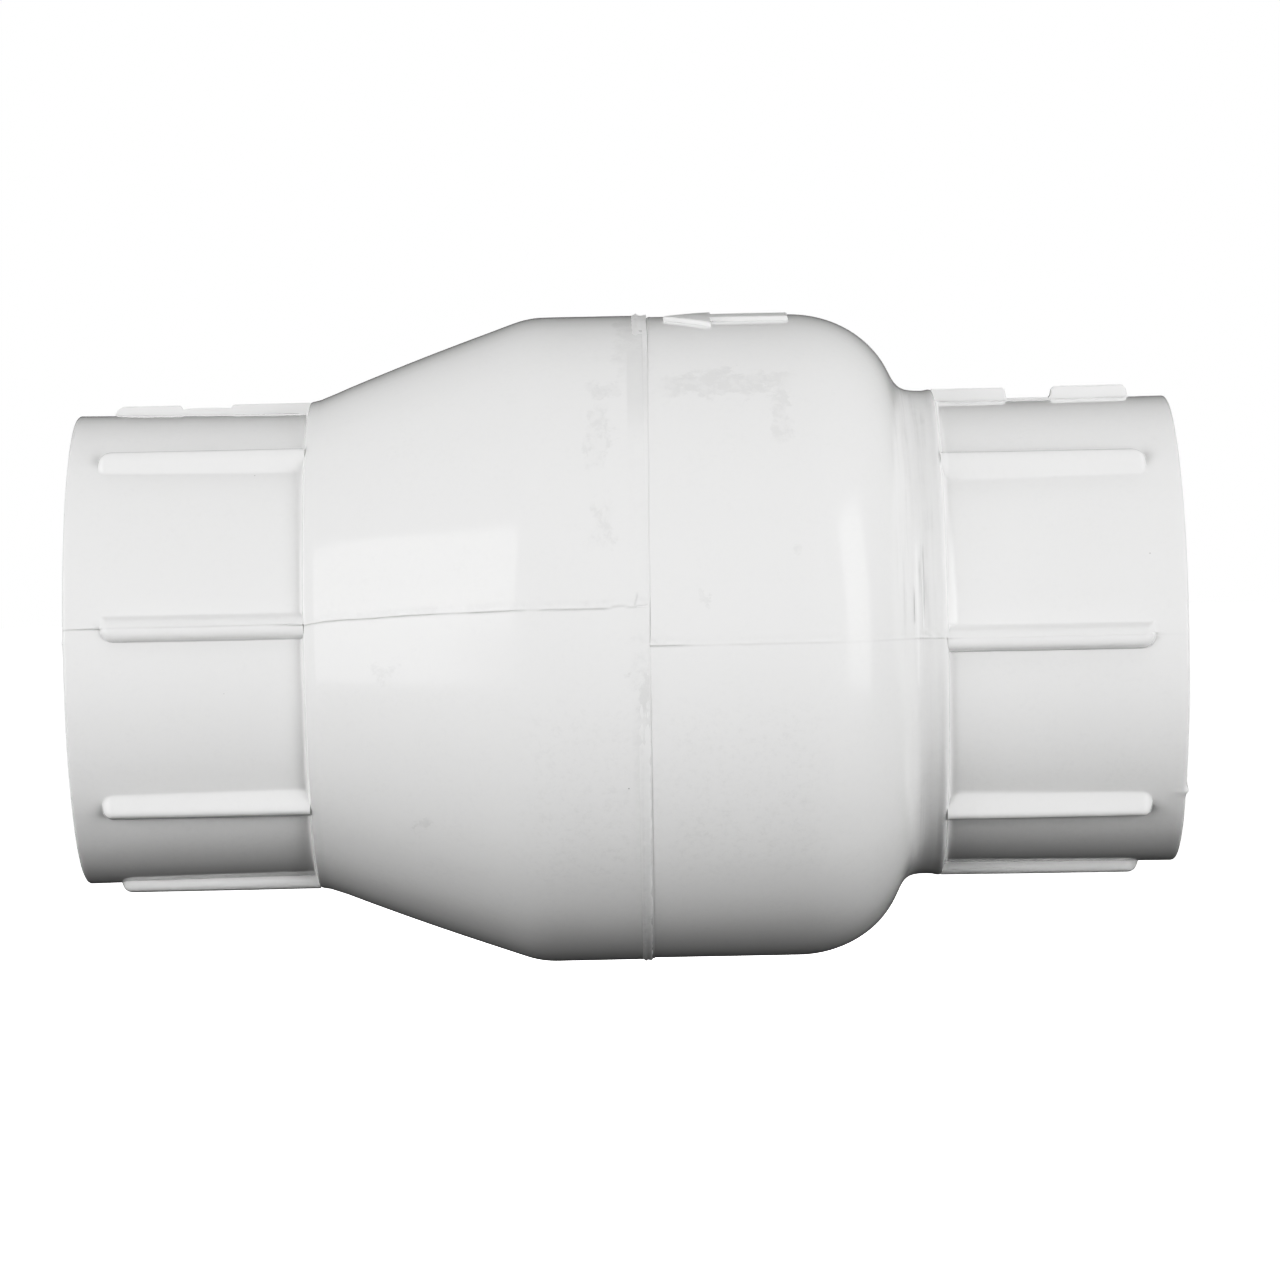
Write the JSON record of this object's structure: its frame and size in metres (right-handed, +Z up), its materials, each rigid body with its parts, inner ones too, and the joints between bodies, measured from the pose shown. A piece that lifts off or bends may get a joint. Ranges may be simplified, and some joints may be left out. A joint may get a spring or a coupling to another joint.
{
  "type": "swing non-return valve",
  "caption": "Inline white PVC swing non-return valve with a ribbed solvent-weld socket at each end, a long outlet cone and a hinged flapper that opens towards the outlet.",
  "frame": {"origin": "on the pipe axis, halfway between the two end faces", "axes": "+X along the pipe axis out of the inlet socket, so water flows towards -X; +Z up, the hinge side of the flapper; -Y is the side seen in the picture"},
  "size_m": [0.14, 0.0836, 0.0837],
  "materials": {
    "white_pvc_outlet": "moulded white PVC, semi-gloss",
    "white_pvc_inlet": "moulded white PVC, semi-gloss",
    "weld_pvc": "melted and set white PVC, rough",
    "inner_pvc": "moulded white PVC, satin",
    "arm_pvc": "moulded light grey PVC, satin",
    "acetal": "natural acetal, smooth",
    "epdm": "black EPDM rubber",
    "stainless": "stainless steel, fine brushed",
    "stainless_pin": "stainless steel, ground"
  },
  "bodies": {
    "root": {"outlet_shell": "white_pvc_outlet", "inlet_shell": "white_pvc_inlet", "weld_flash": "weld_pvc", "seat_ring": "inner_pvc", "seat_o_ring": "epdm", "retaining_ring": "stainless", "hinge_pin": "stainless_pin", "pin_clip_front": "stainless", "pin_clip_back": "stainless", "thrust_washer_front": "acetal", "thrust_washer_back": "acetal"},
    "flapper": {"flapper_arm": "arm_pvc", "arm_bush_front": "acetal", "arm_bush_back": "acetal", "flapper_disc": "inner_pvc", "flapper_seal": "epdm", "seal_plate": "stainless", "flapper_bolt": "stainless", "bolt_seal": "epdm", "flapper_washer": "stainless", "flapper_nut": "stainless"}
  },
  "joints": [
    {"name": "flapper_swing", "type": "hinge", "parent": "root", "child": "flapper", "pos_m": [0.01794, 0, 0.02988], "axis": [0, 1, 0], "range_deg": [0, 70]}
  ]
}
